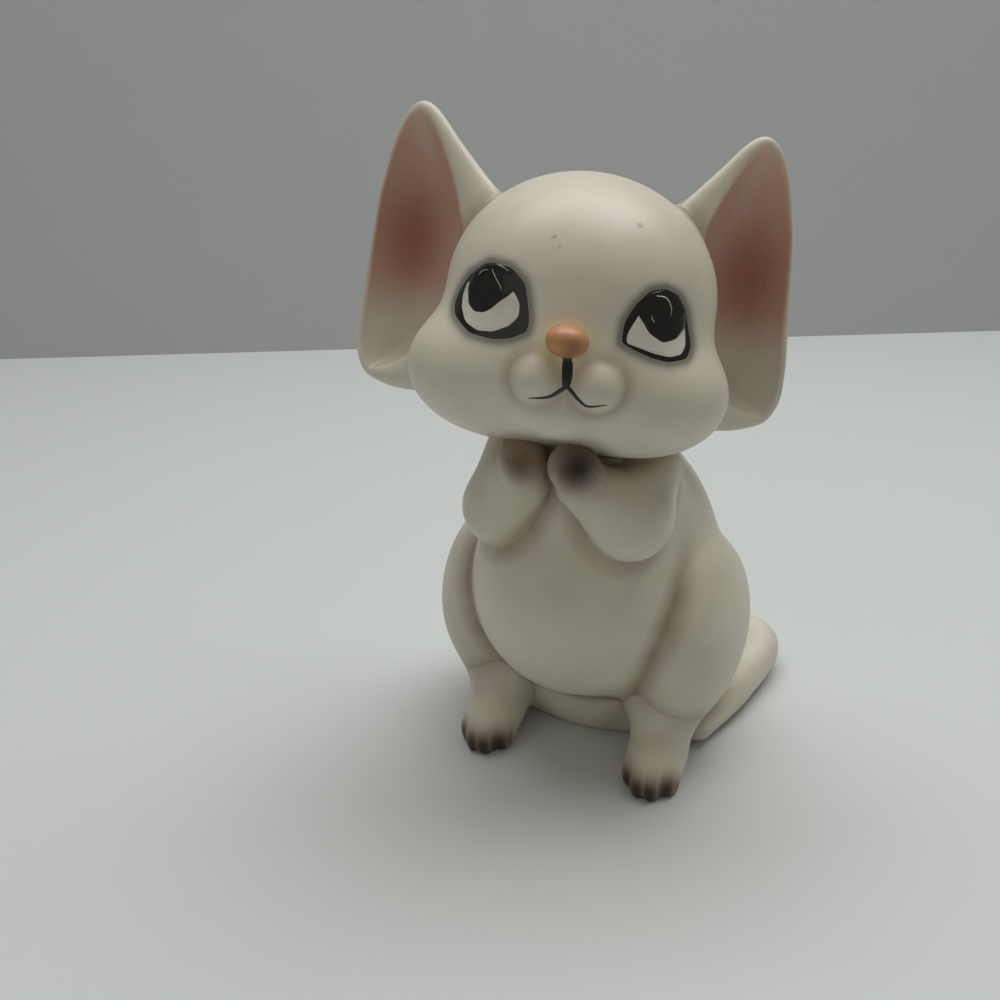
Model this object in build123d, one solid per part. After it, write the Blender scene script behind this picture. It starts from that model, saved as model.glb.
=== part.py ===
"""A small porcelain mouse that sits up, with its paws together under its chin.

It is slip-cast: the body and the head are hollow castings, and the ears, arms, feet, tail and nose
are cast or pressed apart and luted on with slip before the firing. The eyes are raised enamel.

The origin is on the table at the middle of the flat base. +Z is up, and the face looks along -Y.
Lengths are millimetres. The sizes below are given from a point under the middle of the belly, and
the head's from a frame of its own, which its yaw, pitch and roll place.
"""

import os
from math import asin, atan2, cos, pi, sin

import numpy as np
from build123d import *

# Body: four egg shapes that run into each other, and a haunch on each side.
belly_half_width = 13.0
belly_half_depth = 12.0
belly_half_height = 15.0
belly_y = -0.5
belly_z = 21.0
chest_half_width = 11.0
chest_half_depth = 9.8
chest_half_height = 14.0
chest_y = 1.5
chest_z = 33.0
back_half_width = 15.3
back_half_depth = 12.5
back_half_height = 20.0
back_y = 7.5
back_z = 20.5
seat_half_width = 14.2
seat_half_depth = 9.2
seat_half_height = 6.0
seat_y = 10.8
seat_z = 3.0
haunch_half_width = 6.4
haunch_half_depth = 11.0
haunch_half_height = 11.5
haunch_x = 13.1
haunch_y = 5.0
haunch_z = 16.5
body_blend = 5.0
seat_blend = 8.0
haunch_crease = 2.2
body_top_z = 45.5
core_y = 8.0
body_wall = 2.4
vent_radius = 1.5
vent_y = 15.0

# Head, in its own frame: a skull and a jaw, with cheeks, muzzle, whisker pads and chin.
head_x = -0.1
head_y = -2.2
head_z = 54.8
head_yaw_angle = 17.5
head_pitch_angle = -13.0
head_roll_angle = 7.0
skull_half_width = 14.4
skull_half_depth = 14.2
skull_half_height = 12.9
skull_y = 1.5
skull_z = 2.6
jaw_half_width = 14.2
jaw_half_depth = 13.0
jaw_half_height = 8.6
jaw_y = 1.0
jaw_z = -5.0
cheek_half_width = 8.9
cheek_half_depth = 9.0
cheek_half_height = 6.6
cheek_x = 8.0
cheek_y = -2.5
cheek_z = -6.0
muzzle_half_width = 6.0
muzzle_half_depth = 5.5
muzzle_half_height = 4.6
muzzle_y = -9.0
muzzle_z = -3.0
pad_half_width = 3.0
pad_half_depth = 2.6
pad_half_height = 2.8
pad_x = 2.7
pad_y = -11.9
pad_z = -4.6
chin_half_width = 3.2
chin_half_depth = 3.2
chin_half_height = 2.6
chin_y = -9.0
chin_z = -8.2
head_blend = 5.0
head_foot_z = -12.6
neck_y = 4.0
head_wall = 2.2

# Nose bead and enamel eyes, also in the head's frame.
nose_half_width = 2.1
nose_half_depth = 2.0
nose_half_height = 1.65
nose_y = -13.7
nose_z = -0.4
eye_x = 8.1
eye_z = 1.3
eye_half_width = 4.0
eye_half_height = 3.8
pupil_x = 8.4
pupil_z = 2.2
pupil_half_width = 2.5
pupil_half_height = 2.8
enamel = 0.25

# Ears: a dish on each side of the skull, whose rim swells into a roll near the head. The dish's
# own x runs outwards and its z upwards, and its rim is given in shares of its width and height.
ear_y = 4.5
ear_turn_angle = 20.0
right_ear_x = 10.8
right_ear_z = 0.3
right_ear_lean_angle = -5.5
right_ear_nod_angle = 5.0
left_ear_x = 12.7
left_ear_z = 0.6
left_ear_lean_angle = 1.0
left_ear_nod_angle = 0.0
ear_width = 14.0
ear_height = 21.4
ear_middle_x = 5.5
ear_middle_z = -1.0
ear_depth = 5.0
ear_wall = 1.6
ear_rim_radius = 0.5
ear_roll_half_width = 3.8
ear_roll_half_depth = 1.8
ear_flat_share = 0.25
ear_rim_shares = [
    (1.0, -0.19), (0.985, 0.19), (0.945, 0.515), (0.865, 0.77), (0.74, 0.935), (0.595, 1.0),
    (0.445, 0.945), (0.23, 0.795), (-0.035, 0.625), (-0.355, 0.45), (-0.535, 0.0),
    (-0.355, -0.375), (0.145, -0.525), (0.615, -0.535), (0.9, -0.485), (1.0, -0.355),
]
ear_roll_shares = [
    (0.167, 0.0), (0.231, 0.12), (0.269, 0.39), (0.311, 0.73), (0.383, 0.94), (0.556, 1.0),
    (0.694, 0.82), (0.744, 0.7), (0.781, 0.52), (0.806, 0.33), (0.828, 0.15), (0.85, 0.01),
    (0.917, 0.0),
]
ear_front_shares = [0.25, 0.5, 0.75, 0.9]
ear_round_shares = [0.0, 0.2, 0.4, 0.6, 0.8, 1.0]
ear_back_shares = [0.85, 0.6, 0.25]

# Arms: shoulder, elbow and wrist are round, and the paw is an egg at the end of the forearm.
shoulder_x = 7.6
shoulder_y = 0.0
shoulder_z = 38.5
shoulder_radius = 4.0
elbow_x = 7.6
elbows_x = 0.7
elbow_y = -6.2
elbow_z = 34.0
elbow_radius = 4.8
elbow_forearm_radius = 4.6
wrist_x = 3.2
wrist_y = -10.0
wrist_z = 39.6
wrist_radius = 2.8
paw_half_width = 2.75
paw_half_depth = 2.4
paw_half_height = 2.7
paw_x = 2.9
paw_y = -11.6
paw_z = 42.0
paws_x = 1.1

# Feet: a short front leg that stands on the table, with toes in a row at its front.
foot_x = 10.6
stance_x = 2.5
leg_top_y = 2.0
leg_top_z = 9.5
leg_top_radius = 4.6
ankle_y = -3.4
ankle_z = 3.9
ankle_radius = 3.4
foot_half_width = 3.3
foot_half_depth = 4.2
foot_half_height = 3.8
foot_y = -5.0
foot_z = 2.2
toe_count = 4
toe_half_width = 0.9
toe_half_depth = 1.5
toe_half_height = 1.3
toe_pitch = 1.6
toe_row_y = -8.9
toe_row_bow = 0.6
toe_z = 1.15

# Tail: it leaves the back at the table and curls forward round the right side.
tail_root_y = 17.0
tail_root_radius = 3.7
tail_bow_x = 9.0
tail_bow_y = 26.0
tail_bend_x = 18.0
tail_bend_y = 24.5
tail_side_x = 17.4
tail_side_y = 13.0
tail_tip_x = 15.0
tail_tip_y = 4.4
tail_tip_radius = 2.1
tail_lift = 0.2

# Joints between the castings, and the cutting overrun.
lute = 0.12
overrun = 2.0

# Counts for tracing a blended form.
body_level_count = 24
head_level_count = 16
section_point_count = 20
tail_section_count = 16
ear_spoke_count = 36


def egg(points, centre, half_sizes):
    """Distance to an ellipsoid, close to true near its surface."""
    offset = points - np.array(centre)
    half_sizes = np.array(half_sizes)
    near = np.linalg.norm(offset / half_sizes, axis=-1)
    slope = np.linalg.norm(offset / half_sizes**2, axis=-1)
    return near * (near - 1) / slope


def blend(first, second, width):
    """The nearer of two distances, rounded over a width where they meet."""
    overlap = np.maximum(width - np.abs(first - second), 0) / width
    return np.minimum(first, second) - overlap**3 * width / 6


def fold(points):
    """The points with their left half folded onto the right."""
    return np.abs(points * [1, 0, 0]) + points * [0, 1, 1]


def body_form(points):
    """Distance to the outside of the body casting."""
    belly = egg(
        points, (0, belly_y, belly_z), (belly_half_width, belly_half_depth, belly_half_height)
    )
    chest = egg(
        points, (0, chest_y, chest_z), (chest_half_width, chest_half_depth, chest_half_height)
    )
    back = egg(points, (0, back_y, back_z), (back_half_width, back_half_depth, back_half_height))
    seat = egg(points, (0, seat_y, seat_z), (seat_half_width, seat_half_depth, seat_half_height))
    haunch = egg(
        fold(points),
        (haunch_x, haunch_y, haunch_z),
        (haunch_half_width, haunch_half_depth, haunch_half_height),
    )
    trunk = blend(blend(belly, chest, body_blend), back, body_blend)
    return blend(blend(trunk, haunch, haunch_crease), seat, seat_blend)


def head_form(points):
    """Distance to the outside of the head casting, without pads and chin, in its own frame."""
    skull = egg(
        points, (0, skull_y, skull_z), (skull_half_width, skull_half_depth, skull_half_height)
    )
    jaw = egg(points, (0, jaw_y, jaw_z), (jaw_half_width, jaw_half_depth, jaw_half_height))
    cheek = egg(
        fold(points),
        (cheek_x, cheek_y, cheek_z),
        (cheek_half_width, cheek_half_depth, cheek_half_height),
    )
    muzzle = egg(
        points, (0, muzzle_y, muzzle_z), (muzzle_half_width, muzzle_half_depth, muzzle_half_height)
    )
    cranium = blend(blend(skull, jaw, head_blend), cheek, head_blend)
    return blend(cranium, muzzle, head_blend)


def traced_section(form, centre_y, level, grow, reach):
    """The closed curve at a level where the form, grown by a distance, ends."""
    turns = np.arange(section_point_count) * 2 * pi / section_point_count
    rays = np.stack([np.cos(turns), np.sin(turns), np.zeros_like(turns)], axis=-1)
    start = np.array([0, centre_y, level])
    inner = np.zeros(section_point_count)
    outer = np.full(section_point_count, reach)
    while np.max(outer - inner) > reach * 1e-9:
        middle = (inner + outer) / 2
        inside = form(start + middle[:, None] * rays) < grow
        inner = np.where(inside, middle, inner)
        outer = np.where(inside, outer, middle)
    outline = [Vector(*point) for point in start + inner[:, None] * rays]
    even_steps = np.linspace(0, 1, section_point_count + 1).tolist()
    return Wire([Edge.make_spline(outline, periodic=True, parameters=even_steps)])


def body_solid(grow, low_z, high_z):
    """The body form, grown by a distance, between two heights."""
    reach = 2 * (seat_y + seat_half_depth)
    levels = np.linspace(low_z, high_z, body_level_count)
    leans = np.clip(levels / chest_z, 0, 1)
    centres_y = core_y + (chest_y - core_y) * leans
    sections = [
        traced_section(body_form, centre_y, level, grow, reach)
        for centre_y, level in zip(centres_y, levels)
    ]
    return Solid.make_loft(sections, ruled=True)


def head_solid(grow, low_z):
    """The head form in its own frame, grown by a distance, from a low level to its crown."""
    crown_z = skull_z + skull_half_height + grow
    turns = np.linspace(0, pi / 2, head_level_count + 1)[:-1]
    levels = low_z + (crown_z - low_z) * np.sin(turns)
    reach = 2 * skull_half_width
    sections = [traced_section(head_form, jaw_y, level, grow, reach) for level in levels]
    return Solid.make_loft([*sections, Vertex(0, jaw_y, crown_z)], ruled=True)


def head_place():
    """Where the head's own frame stands."""
    turn = Rot(Z=head_yaw_angle) * Rot(X=head_pitch_angle) * Rot(Y=head_roll_angle)
    return Pos(head_x, head_y, head_z) * turn


def egg_solid(centre, half_sizes):
    """A solid ellipsoid."""
    return Pos(*centre) * scale(Solid.make_sphere(1), half_sizes)


def limb(start, start_radius, end, end_radius):
    """A tapered limb with round ends, from one centre to the other."""
    length = (Vector(end) - Vector(start)).length
    slope = asin((start_radius - end_radius) / length)
    start_bend = (slope - pi / 2) / 2
    end_bend = (slope + pi / 2) / 2
    base = (start_radius * cos(slope), start_radius * sin(slope))
    top = (end_radius * cos(slope), length + end_radius * sin(slope))
    heel = (0, -start_radius)
    tip = (0, length + end_radius)
    outline = [
        ThreePointArc(heel, (start_radius * cos(start_bend), start_radius * sin(start_bend)), base),
        Line(base, top),
        ThreePointArc(top, (end_radius * cos(end_bend), length + end_radius * sin(end_bend)), tip),
        Line(tip, heel),
    ]
    profile = Plane.XZ * make_face(outline)
    axis = Plane(origin=start, z_dir=Vector(end) - Vector(start))
    return axis.location * revolve(profile, Axis.Z)


def neck_vent():
    """The air hole between the body and the head, in the head's frame."""
    below = body_wall + lute + overrun
    above = head_wall + overrun
    length = below + above
    return Pos(0, neck_y, head_foot_z + (above - below) / 2) * Cylinder(vent_radius, length)


def body_casting(head_skin):
    """The hollow body, cupped at the neck for the head, with an air hole in its flat base."""
    shell = body_solid(0, 0, body_top_z) - head_place() * head_skin
    neck = head_place() * head_solid(lute + body_wall, head_foot_z - lute - body_wall)
    cavity = body_solid(-body_wall, body_wall, body_top_z - body_wall) - neck
    base_vent = Pos(0, vent_y, 0) * Cylinder(vent_radius, 2 * (body_wall + overrun))
    return shell - cavity - base_vent - head_place() * neck_vent()


def head_casting():
    """The hollow head with its whisker pads and chin, in its own frame."""
    head = head_solid(0, head_foot_z)
    for side in (-1, 1):
        pad_centre = (side * pad_x, pad_y, pad_z)
        head += egg_solid(pad_centre, (pad_half_width, pad_half_depth, pad_half_height))
    head += egg_solid((0, chin_y, chin_z), (chin_half_width, chin_half_depth, chin_half_height))
    return head - head_solid(-head_wall, head_foot_z + head_wall) - neck_vent()


def nose(head_skin):
    """The nose bead that sits on top of the muzzle, in the head's frame."""
    bead = egg_solid((0, nose_y, nose_z), (nose_half_width, nose_half_depth, nose_half_height))
    return bead - head_skin


def enamel_coat(centre_x, centre_z, half_width, half_height, under):
    """A thin coat over the face inside an oval, above an undercoat's thickness."""
    oval = Plane.XZ * Pos(centre_x, centre_z) * Ellipse(half_width, half_height)
    prism = extrude(oval, 2 * skull_half_depth)
    skin = head_solid(under + enamel, head_foot_z) & prism
    return skin - head_solid(under, head_foot_z)


def ear_spokes():
    """Spokes on the ear's plane, from the dish's middle to points along its rim."""
    knots = [Vector(ear_width * out, 0, ear_height * up) for out, up in ear_rim_shares]
    rim = Edge.make_spline(knots, periodic=True)
    middle = Vector(ear_middle_x, 0, ear_middle_z)
    return [rim @ (index / ear_spoke_count) - middle for index in range(ear_spoke_count)]


def ear_ring(place_on_spoke):
    """A closed ring of the ear, from a function that places its point on each spoke."""
    middle = Vector(ear_middle_x, 0, ear_middle_z)
    turns, swells = np.array(ear_roll_shares).T
    points = []
    for spoke in ear_spokes():
        turn = atan2(spoke.Z, spoke.X) / (2 * pi)
        swell = np.interp(turn, turns, swells, period=1)
        half_width = ear_rim_radius + (ear_roll_half_width - ear_rim_radius) * swell
        half_depth = ear_rim_radius + (ear_roll_half_depth - ear_rim_radius) * swell
        steepness = 3 - cos(2 * pi * turn)
        away, back = place_on_spoke(spoke.length, half_width, half_depth, steepness)
        points.append(middle + spoke.normalized() * away + Vector(0, back, 0))
    even_steps = np.linspace(0, 1, ear_spoke_count + 1).tolist()
    return Wire([Edge.make_spline(points, periodic=True, parameters=even_steps)])


def ear_roll_point(round_share, length, half_width, half_depth):
    """A point round the rim's roll, from its inner front over the rim to its back."""
    turn = pi * (3 / 4 - round_share * 5 / 4)
    away = length - half_width + half_width * cos(turn)
    back = -half_depth * sin(turn) + half_depth / 2
    return away, back


def ear_face_point(face_share, round_share, floor, length, half_width, half_depth, steepness):
    """A point on a face of the dish, which is flat in the middle and climbs to the roll."""
    edge_away, edge_back = ear_roll_point(round_share, length, half_width, half_depth)
    climb = max(face_share - ear_flat_share, 0) / (1 - ear_flat_share)
    return edge_away * face_share, floor + (edge_back - floor) * climb**steepness


def ear(side, head_skin):
    """A dished ear with a thin outer edge and a rolled inner one, in the head's frame."""
    front = ear_depth - ear_wall / 2
    back = ear_depth + ear_wall / 2
    rings = [
        ear_ring(lambda *spoke, share=share: ear_face_point(share, 0, front, *spoke))
        for share in ear_front_shares
    ]
    rings += [
        ear_ring(lambda *spoke, share=share: ear_roll_point(share, *spoke[:3]))
        for share in ear_round_shares
    ]
    rings += [
        ear_ring(lambda *spoke, share=share: ear_face_point(share, 1, back, *spoke))
        for share in ear_back_shares
    ]
    dish = Solid.make_loft(rings, ruled=True)
    if side > 0:
        turn = Rot(Z=ear_turn_angle) * Rot(X=right_ear_nod_angle) * Rot(Y=right_ear_lean_angle)
        placed = Pos(right_ear_x, ear_y, right_ear_z) * turn * dish
    else:
        turn = Rot(Z=ear_turn_angle) * Rot(X=left_ear_nod_angle) * Rot(Y=left_ear_lean_angle)
        placed = mirror(Pos(left_ear_x, ear_y, left_ear_z) * turn * dish, about=Plane.YZ)
    return placed - head_skin


def arm(side, body_skin, head_skin):
    """An arm bent at the elbow, with its paw held up under the chin."""
    shoulder = (side * shoulder_x, shoulder_y, shoulder_z)
    elbow = (elbows_x + side * elbow_x, elbow_y, elbow_z)
    wrist = (paws_x + side * wrist_x, wrist_y, wrist_z)
    paw_centre = (paws_x + side * paw_x, paw_y, paw_z)
    upper = limb(shoulder, shoulder_radius, elbow, elbow_radius)
    fore = limb(elbow, elbow_forearm_radius, wrist, wrist_radius)
    paw = egg_solid(paw_centre, (paw_half_width, paw_half_depth, paw_half_height))
    return upper + fore + paw - body_skin - head_skin


def foot(side, body_skin):
    """A short front leg cut flat at the table, with a row of toes."""
    middle_x = stance_x + side * foot_x
    leg_top = (side * foot_x, leg_top_y, leg_top_z)
    ankle = (middle_x, ankle_y, ankle_z)
    block = limb(leg_top, leg_top_radius, ankle, ankle_radius)
    block += egg_solid(
        (middle_x, foot_y, foot_z), (foot_half_width, foot_half_depth, foot_half_height)
    )
    for place in range(toe_count):
        offset_share = 2 * place / (toe_count - 1) - 1
        toe_x = middle_x + offset_share * toe_pitch * (toe_count - 1) / 2
        toe_y = toe_row_y + toe_row_bow * offset_share**2
        block += egg_solid((toe_x, toe_y, toe_z), (toe_half_width, toe_half_depth, toe_half_height))
    depth = foot_half_height + leg_top_radius
    under = Pos(middle_x, foot_y, -depth / 2) * Box(4 * foot_half_width, 8 * foot_half_depth, depth)
    return block - under - body_skin


def tail(body_skin):
    """The tail, curled round the right side on the table, tapering to a round tip."""
    places = [(0, tail_root_y), (tail_bow_x, tail_bow_y), (tail_bend_x, tail_bend_y)]
    path = Spline(*places, (tail_side_x, tail_side_y), (tail_tip_x, tail_tip_y))
    sections = []
    for share in np.linspace(0, 1, tail_section_count):
        radius = tail_root_radius + (tail_tip_radius - tail_root_radius) * share
        centre = path.position_at(share) + Vector(0, 0, radius + tail_lift)
        plane = Plane(origin=centre, x_dir=(0, 0, 1), z_dir=path.tangent_at(share))
        sections.append(Wire([Edge.make_circle(radius, plane)]))
    tip = Vector(tail_tip_x, tail_tip_y, tail_tip_radius + tail_lift)
    whole = Solid.make_loft(sections, ruled=True) + Pos(tip) * Sphere(tail_tip_radius)
    return whole - body_skin


def main():
    """Make every casting, and write each as a STEP file of its own."""
    os.makedirs("parts", exist_ok=True)
    place = head_place()
    head_skin = head_solid(lute, head_foot_z - lute)
    body_skin = body_solid(lute, 0, body_top_z)
    pieces = {
        "body_casting": body_casting(head_skin),
        "head_casting": place * head_casting(),
        "nose": place * nose(head_skin),
        "tail": tail(body_skin),
    }
    for name, side in (("right", 1), ("left", -1)):
        pieces[f"ear_{name}"] = place * ear(side, head_skin) - body_skin
        pieces[f"arm_{name}"] = arm(side, body_skin, place * head_skin)
        pieces[f"foot_{name}"] = foot(side, body_skin)
        pieces[f"eye_{name}"] = place * enamel_coat(
            side * eye_x, eye_z, eye_half_width, eye_half_height, lute
        )
        pieces[f"pupil_{name}"] = place * enamel_coat(
            side * pupil_x, pupil_z, pupil_half_width, pupil_half_height, enamel + 2 * lute
        )
    for name, piece in pieces.items():
        export_step(Pos(0, -seat_y, 0) * piece, f"parts/{name}.step")


main()
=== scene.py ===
from functools import partial
from math import cos, pi, radians, sin

import bpy
import numpy as np
from mathutils import Matrix, Vector


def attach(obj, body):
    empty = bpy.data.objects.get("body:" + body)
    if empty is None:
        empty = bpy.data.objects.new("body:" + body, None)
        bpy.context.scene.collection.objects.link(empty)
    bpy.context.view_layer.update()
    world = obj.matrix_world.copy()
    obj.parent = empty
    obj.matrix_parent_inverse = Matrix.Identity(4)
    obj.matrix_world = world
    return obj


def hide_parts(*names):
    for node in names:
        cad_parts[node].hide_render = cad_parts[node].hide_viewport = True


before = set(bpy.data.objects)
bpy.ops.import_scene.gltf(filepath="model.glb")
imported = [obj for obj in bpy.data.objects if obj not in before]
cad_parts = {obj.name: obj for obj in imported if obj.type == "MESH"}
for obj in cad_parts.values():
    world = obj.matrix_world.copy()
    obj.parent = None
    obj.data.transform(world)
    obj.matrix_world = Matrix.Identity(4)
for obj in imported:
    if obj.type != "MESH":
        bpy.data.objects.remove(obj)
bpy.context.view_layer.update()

# Viewpoint: the photograph is taken from close above the table, to the right of the body's front.
# Every size in this file is in millimetres, in the body's own frame, with its zero under the
# belly; a mesh is moved to the middle of the flat base, and to metres, when it is made.
MM = 0.001
BASE_MIDDLE = np.array([0.0, 10.8, 0.0])
PHOTO_PIXELS = 1000
FOCAL_PIXELS = 1050
CAMERA_X = -1.0
CAMERA_AZIMUTH = 21.0
CAMERA_DISTANCE = 112.0
CAMERA_HEIGHT = 85.0
CAMERA_HEADING = 25.4
CAMERA_PITCH = 25.0
CAMERA_ROLL = -1.0
SENSOR = 36.0


def turned(axis, degrees):
    """Rotation matrix about one of the axes 'X', 'Y' or 'Z'."""
    return np.array(Matrix.Rotation(radians(degrees), 3, axis))


camera_foot = np.array([
    CAMERA_X + CAMERA_DISTANCE * sin(radians(CAMERA_AZIMUTH)),
    -CAMERA_DISTANCE * cos(radians(CAMERA_AZIMUTH)),
    0,
])
camera_place = (camera_foot + [0, 0, CAMERA_HEIGHT] - BASE_MIDDLE) * MM
camera_turn = (
    turned("Z", CAMERA_HEADING) @ turned("X", 90 - CAMERA_PITCH) @ turned("Z", CAMERA_ROLL)
)
lens = bpy.data.cameras.new("photo_camera")
lens.sensor_width = SENSOR
lens.lens = SENSOR * FOCAL_PIXELS / PHOTO_PIXELS
lens.clip_start = MM
camera = bpy.data.objects.new("photo_camera", lens)
camera.matrix_world = Matrix.Translation(camera_place) @ Matrix(camera_turn.tolist()).to_4x4()
bpy.context.scene.collection.objects.link(camera)
bpy.context.scene.camera = camera

# Body: one hollow slip casting in white porcelain, of belly, chest, back, seat and haunches, with
# a flat base. Its form is a blend of egg shapes, and belly, haunches and lap meet in soft creases.
# Every other piece of clay is luted to it or to the head.
BELLY = dict(centre=(0, -0.5, 22.2), half=(13.0, 12.0, 13.9))
CHEST = dict(centre=(0, 1.5, 33.0), half=(11.0, 9.8, 14.0))
BACK = dict(centre=(0, 7.5, 20.5), half=(15.3, 12.5, 20.0))
SEAT = dict(centre=BASE_MIDDLE + [0, 0, 3.0], half=(14.2, 9.2, 6.0))
HAUNCH = dict(centre=(13.1, 5.0, 16.5), half=(6.4, 11.0, 11.5))
LAP = dict(centre=(0, 6.5, 4.8), half=(13.5, 7.5, 6.3))
BODY_BLEND = 5.0
SEAT_BLEND = 8.0
HAUNCH_CREASE = 2.2
LAP_CREASE = 1.6
JOIN_SOFTENS = (1.0, 10.0)
BASE_ROUNDING = 0.8
BODY_CORE = np.array([0.0, 6.0, 20.0])
BODY_REACH = 60.0
BODY_GRID = (230, 400)
TINY = 1e-9
HALVINGS = 20


def egg(points, centre, half):
    """Distance to an ellipsoid: the scaled radius k0 less one, over the slope of k0."""
    offset = points - np.array(centre, float)
    half = np.array(half, float)
    near = np.linalg.norm(offset / half, axis=-1)
    slope = np.linalg.norm(offset / half**2, axis=-1) + TINY
    return near * (near - 1) / slope


def fillet(first, second, width):
    """Slip between two surfaces: (w/6)(1 - |f - g|/w)^3 where their distances are within w."""
    overlap = np.maximum(width - np.abs(first - second), 0) / width
    return overlap**3 * width / 6


def blend(first, second, width):
    """Two forms in one: the smaller of their distances, less the fillet between them."""
    return np.minimum(first, second) - fillet(first, second, width)


def trim(first, second, width):
    """The larger of two distances with a rounded edge: a cut instead of a union."""
    return -blend(-first, -second, width)


def fold(points):
    """The points with their left half folded onto the right."""
    return np.abs(points * [1, 0, 0]) + points * [0, 1, 1]


def ease(start, end, values):
    """Smooth step 3s^2 - 2s^3, from 0 at the start to 1 at the end."""
    share = np.clip((values - start) / (end - start), 0, 1)
    return share**2 * (3 - 2 * share)


def seat_form(points):
    """Distance to the seat with the lap in front of it."""
    return blend(egg(points, **SEAT), egg(points, **LAP), BODY_BLEND)


def body_form(points):
    """Distance to the body: trunk, haunches and seat, cut flat at the table."""
    trunk = blend(egg(points, **BELLY), egg(points, **CHEST), BODY_BLEND)
    trunk = blend(trunk, egg(points, **BACK), BODY_BLEND)
    trunk = blend(trunk, egg(fold(points), **HAUNCH), HAUNCH_CREASE)
    join = LAP_CREASE + (SEAT_BLEND - LAP_CREASE) * ease(*JOIN_SOFTENS, points[..., 1])
    return trim(blend(trunk, seat_form(points), join), -points[..., 2], BASE_ROUNDING)


def ball_rays(rows, columns, axis):
    """Directions over a ball: a pole on an axis, rings of even tilt from it, the other pole."""
    pole = "XYZ".index(axis)
    tilt = np.linspace(0, pi, rows + 2)[1:-1, None]
    turn = np.linspace(0, 2 * pi, columns, endpoint=False)[None, :]
    ring = [np.cos(tilt) + 0 * turn, np.sin(tilt) * np.cos(turn), np.sin(tilt) * np.sin(turn)]
    rays = np.stack([ring[(place - pole) % 3] for place in range(3)], axis=-1).reshape(-1, 3)
    tip = np.eye(3)[pole]
    return np.vstack([tip, rays, -tip])


def cast_rays(form, origins, rays, reach):
    """Where rays leave a form: each is halved again and again between inside and outside."""
    inner = np.zeros(len(rays))
    outer = np.full(len(rays), reach)
    for _ in range(HALVINGS):
        middle = (inner + outer) / 2
        inside = form(origins + middle[:, None] * rays) < 0
        inner = np.where(inside, middle, inner)
        outer = np.where(inside, outer, middle)
    return origins + inner[:, None] * rays


def make_mesh(name, points, faces, masks):
    """An object in metres, smooth, with float masks on its vertices."""
    mesh = bpy.data.meshes.new(name)
    mesh.from_pydata(((points - BASE_MIDDLE) * MM).tolist(), [], faces)
    mesh.polygons.foreach_set("use_smooth", np.ones(len(mesh.polygons), bool))
    for mask, values in masks.items():
        layer = mesh.attributes.new(mask, "FLOAT", "POINT")
        layer.data.foreach_set("value", np.ascontiguousarray(values, dtype=np.float32))
    mesh.update()
    piece = bpy.data.objects.new(name, mesh)
    bpy.context.scene.collection.objects.link(piece)
    return piece


def make_skin(name, points, columns, masks):
    """A closed mesh from a pole, rings of as many columns and a pole, its faces outwards.

    The sum of a . (b x c) over its triangles, six times its volume, tells which way they face.
    """
    last = len(points) - 1 - columns
    ring = np.arange(1, last, columns)[:, None]
    here = np.arange(columns)
    there = (here + 1) % columns
    quads = np.stack([ring + here, ring + columns + here, ring + columns + there, ring + there], -1)
    quads = quads.reshape(-1, 4)
    first_fan = np.stack([0 * here, 1 + here, 1 + there], axis=-1)
    last_fan = np.stack([0 * here + len(points) - 1, last + there, last + here], axis=-1)
    corners = points[np.vstack([quads[:, [0, 1, 2]], quads[:, [0, 2, 3]]])]
    volume = np.einsum("ij,ij->", corners[:, 0], np.cross(corners[:, 1], corners[:, 2]))
    faces = [*quads.tolist(), *first_fan.tolist(), *last_fan.tolist()]
    if volume < 0:
        faces = [face[::-1] for face in faces]
    return make_mesh(name, points, faces, masks)


# The glaze is a little uneven: it clouds over centimetres, pools warm and brown in the creases,
# has a faint orange-peel surface, and holds a few dark specks from the kiln. The creases' warm
# brown is also painted shade. Paint is sprayed or dabbed on it, so that its edge breaks up into
# fine grains.
# A noise is given by its scale and detail, a tint or roughness by what multiplies the noise and
# what is then added, and a coat by its weight and roughness.
CLOUD = (110, 3)
STREAK = (420, 4)
PEEL = (1500, 2)
GRAINS = (2600, 2)
CLOUD_TINT = (0.5, -0.13)
STREAK_TINT = (0.7, 0.5)
GLAZE_ROUGHNESS = (0.16, 0.36)
PEEL_HEIGHT = 0.3
CLOUD_HEIGHT = 0.7
GLAZE_BUMP = 0.06
GLAZE_COAT = (0.12, 0.2)


def colour(red, green, blue):
    """Linear values of a colour c given in a screen's 0 to 255 steps: ((c + 0.055) / 1.055)^2.4."""
    steps = np.array([red, green, blue]) / 255
    linear = np.where(steps < 0.04045, steps / 12.92, ((steps + 0.055) / 1.055) ** 2.4)
    return (*linear.tolist(), 1.0)


GLAZE_COLOUR = colour(219, 214, 197)
# The pooled colour darkens creases as glaze pooled there and as painted shade.
POOLED_SHADE_COLOUR = colour(136, 118, 92)
SPECK_COLOUR = colour(84, 74, 62)


def new_group(name, inputs, outputs):
    """A shader node group with named sockets; returns it with its two end nodes."""
    group = bpy.data.node_groups.new(name, "ShaderNodeTree")
    for socket, kind in inputs.items():
        group.interface.new_socket(socket, in_out="INPUT", socket_type="NodeSocket" + kind)
    for socket, kind in outputs.items():
        group.interface.new_socket(socket, in_out="OUTPUT", socket_type="NodeSocket" + kind)
    return group, group.nodes.new("NodeGroupInput"), group.nodes.new("NodeGroupOutput")


def feed(tree, socket, value):
    """Link a socket to another one, or set it to a plain number or colour."""
    if isinstance(value, bpy.types.NodeSocket):
        tree.links.new(value, socket)
    else:
        socket.default_value = value


def add_math(tree, operation, *values):
    """A math node, each of its inputs a linked socket or a number."""
    node = tree.nodes.new("ShaderNodeMath")
    node.operation = operation
    for socket, value in zip(node.inputs, values):
        feed(tree, socket, value)
    return node.outputs[0]


def add_clamp(tree, value):
    """A value held between 0 and 1."""
    return add_math(tree, "MINIMUM", add_math(tree, "MAXIMUM", value, 0.0), 1.0)


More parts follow.
